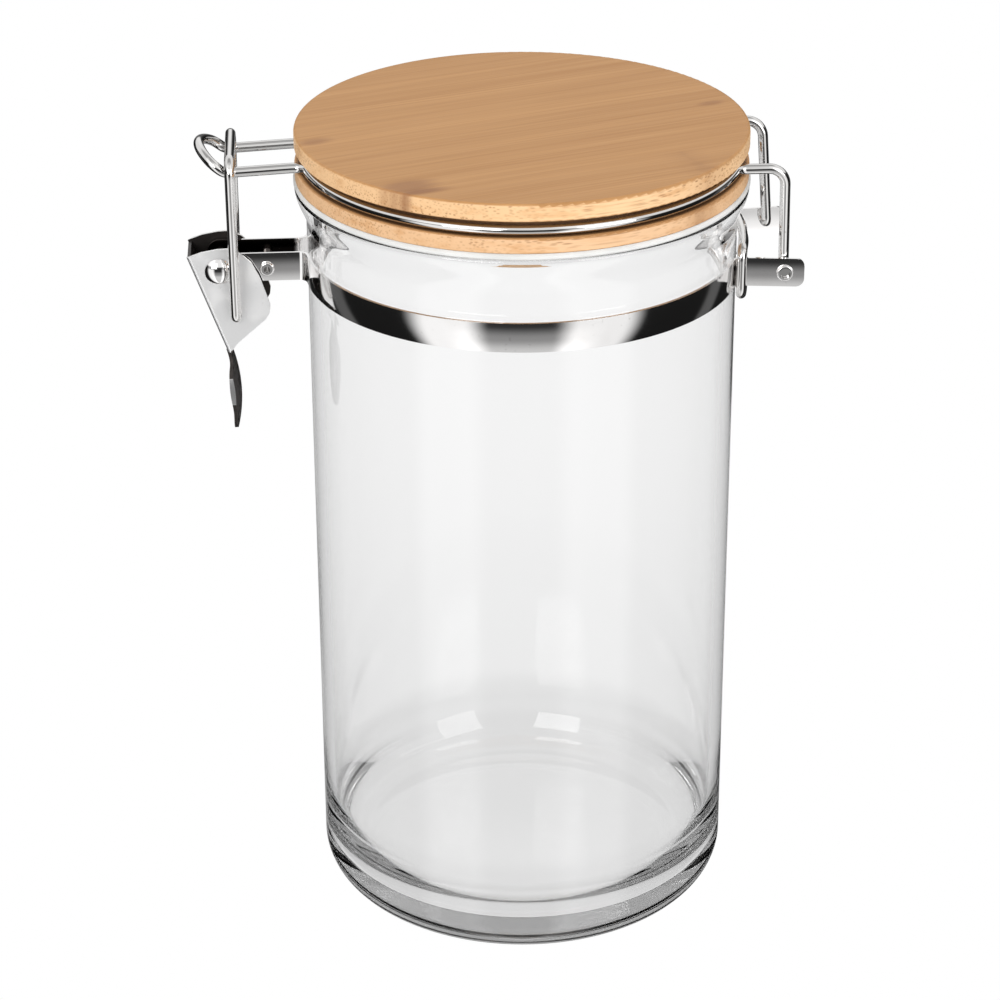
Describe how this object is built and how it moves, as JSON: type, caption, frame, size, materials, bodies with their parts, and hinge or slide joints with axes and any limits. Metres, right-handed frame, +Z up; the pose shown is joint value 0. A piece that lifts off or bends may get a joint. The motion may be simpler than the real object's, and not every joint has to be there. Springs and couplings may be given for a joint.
{
  "type": "lidded glass canister",
  "caption": "Cylindrical glass storage canister with a round bamboo lid, silicone gasket and a hinged steel wire clip closure with an over-centre lever.",
  "frame": {"origin": "middle of the jar's flat underside", "axes": "+Z up along the jar's axis; +X towards the lid hinge, -X towards the latch; +Y towards the back"},
  "size_m": [0.149, 0.1108, 0.2061],
  "materials": {
    "glass": "clear, polished",
    "bamboo_top": "oiled bamboo, satin",
    "bamboo_lower": "oiled bamboo, satin",
    "bamboo_plug": "oiled bamboo, satin",
    "silicone": "translucent silicone",
    "wire": "polished stainless wire",
    "band": "polished stainless strip",
    "lever": "pressed stainless sheet, semi-polished",
    "pins": "polished rivets"
  },
  "bodies": {
    "jar": {"glass_jar": "glass", "band_front": "band", "band_rear": "band", "keeper_ring": "wire", "lever_pivot_rivet": "pins", "clamp_pin": "pins"},
    "lid": {"lid_top_plate": "bamboo_top", "lid_lower_plate": "bamboo_lower", "lid_plug": "bamboo_plug", "lid_gasket": "silicone", "lid_wire": "wire"},
    "lever": {"latch_lever": "lever"},
    "bail": {"latch_bail": "wire"}
  },
  "joints": [
    {"name": "lid_hinge", "type": "hinge", "parent": "jar", "child": "lid", "pos_m": [0.0625, 0, 0.1726], "axis": [0, 1, 0], "range_deg": [0, 200]},
    {"name": "latch_lever_pivot", "type": "hinge", "parent": "jar", "child": "lever", "pos_m": [-0.0741, 0, 0.1722], "axis": [0, 1, 0], "range_deg": [0, 115]},
    {"name": "bail_pivot", "type": "hinge", "parent": "lever", "child": "bail", "pos_m": [-0.0703, 0, 0.1604], "axis": [0, 1, 0], "range_deg": [-84, 0]}
  ],
  "couplings": [
    {"joint": "bail_pivot", "follows": "latch_lever_pivot", "ratio": -0.72}
  ]
}
